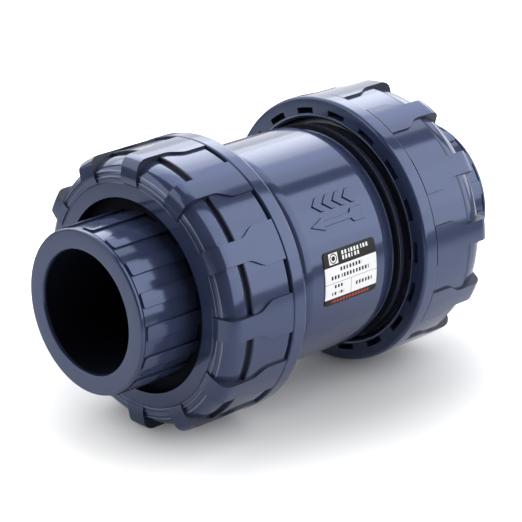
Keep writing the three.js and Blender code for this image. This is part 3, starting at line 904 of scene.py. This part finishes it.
studio = {
    "worldStrength": 0.12, "camera": (-0.5349, -0.5475, 0.3026), "azimuth": -44.16, "elevation": 21.85,
    "roll": 0.59, "lens": 163.2,
}
floorSizes = {
    "height": cadBox[0][2] / mm, "width": 6000, "middle": (20, 15), "radii": (75, 65), "glowStart": 0.65,
    "glowEnd": 2.0, "glow": 0.6, "tone": 0.8, "bounceNear": 0.76, "bounceFar": 0.12, "bounceStart": 3,
    "bounceEnd": 6,
}


def makeFloor():
    s = floorSizes
    bm = bmesh.new()
    bmesh.ops.create_grid(bm, x_segments=1, y_segments=1, size=s["width"] / 2 * mm)
    bmesh.ops.translate(bm, verts=bm.verts, vec=(0, 0, s["height"] * mm))
    mesh = bpy.data.meshes.new("floor")
    bm.to_mesh(mesh)
    bm.free()
    floor = bpy.data.objects.new("floor", mesh)
    scene.collection.objects.link(floor)
    mesh.materials.append(floorSheet(s))


def easedRange(nodes, start, end, first, last):
    ranged = nodes.new("ShaderNodeMapRange")
    ranged.interpolation_type = "SMOOTHSTEP"
    for label, value in (("From Min", start), ("From Max", end), ("To Min", first), ("To Max", last)):
        ranged.inputs[label].default_value = value
    return ranged


def floorSheet(s):
    # white sheet with a painted glow, an emission seen by camera rays only that grows away from the valve, so
    # its far parts wash out to white; its far parts throw little light back, so that the valve's underside
    # stays dark
    material, nodes, link, shader = newMaterial("floorSheet")
    shader.inputs["Roughness"].default_value = 0.9
    shader.inputs["Specular IOR Level"].default_value = 0.1
    shader.inputs["Emission Strength"].default_value = 1
    place = nodes.new("ShaderNodeTexCoord")
    oval = nodes.new("ShaderNodeMapping")
    oval.vector_type = "TEXTURE"
    oval.inputs["Location"].default_value = (s["middle"][0] * mm, s["middle"][1] * mm, s["height"] * mm)
    oval.inputs["Scale"].default_value = (s["radii"][0] * mm, s["radii"][1] * mm, 1)
    link(place.outputs["Object"], oval.inputs["Vector"])
    away = nodes.new("ShaderNodeVectorMath")
    away.operation = "LENGTH"
    link(oval.outputs["Vector"], away.inputs[0])
    glow = easedRange(nodes, s["glowStart"], s["glowEnd"], 0, s["glow"])
    link(away.outputs["Value"], glow.inputs["Value"])
    rays = nodes.new("ShaderNodeLightPath")
    bounce = easedRange(nodes, s["bounceStart"], s["bounceEnd"], s["bounceNear"], s["bounceFar"])
    link(away.outputs["Value"], bounce.inputs["Value"])
    tone = nodes.new("ShaderNodeMix")
    tone.data_type = "FLOAT"
    tone.inputs["B"].default_value = s["tone"]
    link(rays.outputs["Is Camera Ray"], tone.inputs["Factor"])
    link(bounce.outputs["Result"], tone.inputs["A"])
    link(tone.outputs["Result"], shader.inputs["Base Color"])
    seen = mathNode(nodes, "MULTIPLY")
    link(glow.outputs["Result"], seen.inputs[0])
    link(rays.outputs["Is Camera Ray"], seen.inputs[1])
    link(seen.outputs[0], shader.inputs["Emission Color"])
    return material


def areaLamp(name, width, height, radiance, location, turned, tint=(1, 1, 1)):
    light = bpy.data.lights.new(name, "AREA")
    light.shape = "RECTANGLE"
    light.color = tint
    light.size = width
    light.size_y = height
    light.energy = radiance * math.pi * width * height
    lamp = bpy.data.objects.new(name, light)
    lamp.location = location
    lamp.rotation_euler = turned
    scene.collection.objects.link(lamp)


def softbox(name, fromAngle, toAngle, radiance, tint=(1, 1, 1)):
    # a long panel beside the flow axis; its angles run from straight up towards the camera side
    distance, fromX, toX = 1.5, -0.1, 2.9
    middle = math.radians((fromAngle + toAngle) / 2)
    height = 2 * distance * math.tan(math.radians((toAngle - fromAngle) / 2))
    place = ((fromX + toX) / 2, -distance * math.sin(middle), distance * math.cos(middle))
    areaLamp(name, toX - fromX, height, radiance, place, (middle, 0, 0), tint)


def panel(name, direction, distance, width, height, radiance):
    # a panel that looks straight at the valve from the given direction
    away = Vector(direction).normalized()
    areaLamp(name, width, height, radiance, away * distance, away.to_track_quat("Z", "Y").to_euler())


def makeCamera(s):
    data = bpy.data.cameras.new("camera")
    data.lens = s["lens"]
    data.sensor_width = 36
    data.clip_end = 20
    camera = bpy.data.objects.new("camera", data)
    camera.location = s["camera"]
    azimuth, elevation = math.radians(s["azimuth"]), math.radians(s["elevation"])
    back = Vector((math.sin(azimuth) * math.cos(elevation), -math.cos(azimuth) * math.cos(elevation),
                   math.sin(elevation)))
    lean = Matrix.Rotation(math.radians(s["roll"]), 3, "Z")
    camera.rotation_euler = (back.to_track_quat("Z", "Y").to_matrix() @ lean).to_euler()
    scene.collection.objects.link(camera)
    scene.camera = camera


def makeWorld(s):
    world = bpy.data.worlds.new("studio")
    world.use_nodes = True
    background = world.node_tree.nodes["Background"]
    background.inputs["Color"].default_value = (1, 1, 1, 1)
    background.inputs["Strength"].default_value = s["worldStrength"]
    scene.world = world


makeFloor()
makeWorld(studio)
softbox("backLow", -104, -66, 1.6)
softbox("backMiddle", -66, -56, 3.2)
softbox("backKey", -56, -41, 4.5)
softbox("backKeyEdge", -41, -34, 4.0)
softbox("overheadEdge", -34, -26, 3.1)
softbox("overheadBlue", -26, -9, 1.9, (0.93, 0.99, 1.15))
softbox("overhead", -9, 4, 1.65)
softbox("frontUpper", 17, 40, 2.3)
softbox("front", 40, 74, 2.5)
softbox("frontLower", 74, 98, 2.2)
softbox("frontFoot", 98, 105, 1.6)
panel("pastInlet", (1, 0, 0.19), 2.9, 2.2, 1.1, 2.6)
panel("outletSide", (-0.62, 0.62, 0.47), 1.5, 1.6, 1.6, 1.7)
makeCamera(studio)
print("studio made")
